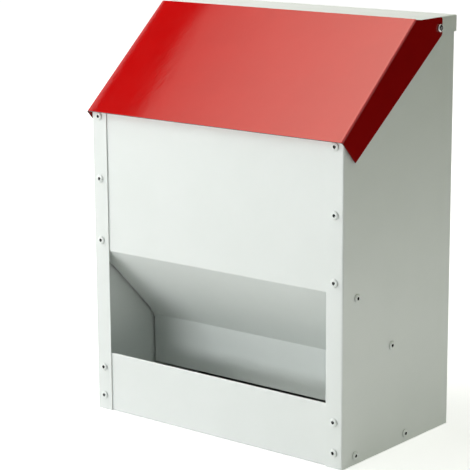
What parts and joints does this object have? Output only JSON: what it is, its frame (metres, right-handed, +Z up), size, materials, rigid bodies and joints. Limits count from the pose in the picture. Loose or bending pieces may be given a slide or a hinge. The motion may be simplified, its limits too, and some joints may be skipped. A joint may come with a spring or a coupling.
{
  "type": "poultry feeder",
  "caption": "Wall-mounted gravity poultry feeder in painted sheet steel: upright hopper, baffle, open trough and a hinged sloping lid.",
  "frame": {"origin": "on the ground, under the middle of the whole feeder's box", "axes": "+Z up; +Y out of the back panel, towards the wall; -Y out of the trough, towards the birds; +X to the right seen from the front"},
  "size_m": [0.3082, 0.1833, 0.3975],
  "materials": {
    "white_paint": "white powder coat, slightly greenish grey, satin",
    "red_paint": "red powder coat, semi-gloss",
    "bright_steel": "bright zinc plate"
  },
  "bodies": {
    "body": {"left_side_panel": "white_paint", "right_side_panel": "white_paint", "front_panel": "white_paint", "trough": "white_paint", "back_panel": "white_paint", "top_cap": "white_paint", "front_rivet_left_1": "white_paint", "front_rivet_left_2": "white_paint", "front_rivet_left_3": "white_paint", "front_rivet_left_4": "white_paint", "front_rivet_left_5": "white_paint", "front_rivet_right_1": "white_paint", "front_rivet_right_2": "white_paint", "front_rivet_right_3": "white_paint", "front_rivet_right_4": "white_paint", "front_rivet_right_5": "white_paint", "side_rivet_left_1": "white_paint", "side_rivet_left_2": "white_paint", "side_rivet_left_3": "white_paint", "side_rivet_left_4": "white_paint", "side_rivet_right_1": "white_paint", "side_rivet_right_2": "white_paint", "side_rivet_right_3": "white_paint", "side_rivet_right_4": "white_paint", "back_rivet_left_1": "white_paint", "back_rivet_left_2": "white_paint", "back_rivet_left_3": "white_paint", "back_rivet_left_4": "white_paint", "back_rivet_right_1": "white_paint", "back_rivet_right_2": "white_paint", "back_rivet_right_3": "white_paint", "back_rivet_right_4": "white_paint", "cap_rivet_1": "white_paint", "cap_rivet_2": "white_paint", "cap_rivet_3": "white_paint", "pivot_screw_left": "bright_steel", "pivot_screw_right": "bright_steel", "pivot_washer_left": "bright_steel", "pivot_washer_right": "bright_steel", "pivot_nut_left": "bright_steel", "pivot_nut_right": "bright_steel"},
    "lid": {"lid": "red_paint"}
  },
  "joints": [
    {"name": "lid_hinge", "type": "hinge", "parent": "body", "child": "lid", "pos_m": [0, 0.0587, 0.386], "axis": [-1, 0, 0], "range_deg": [0, 115]}
  ]
}
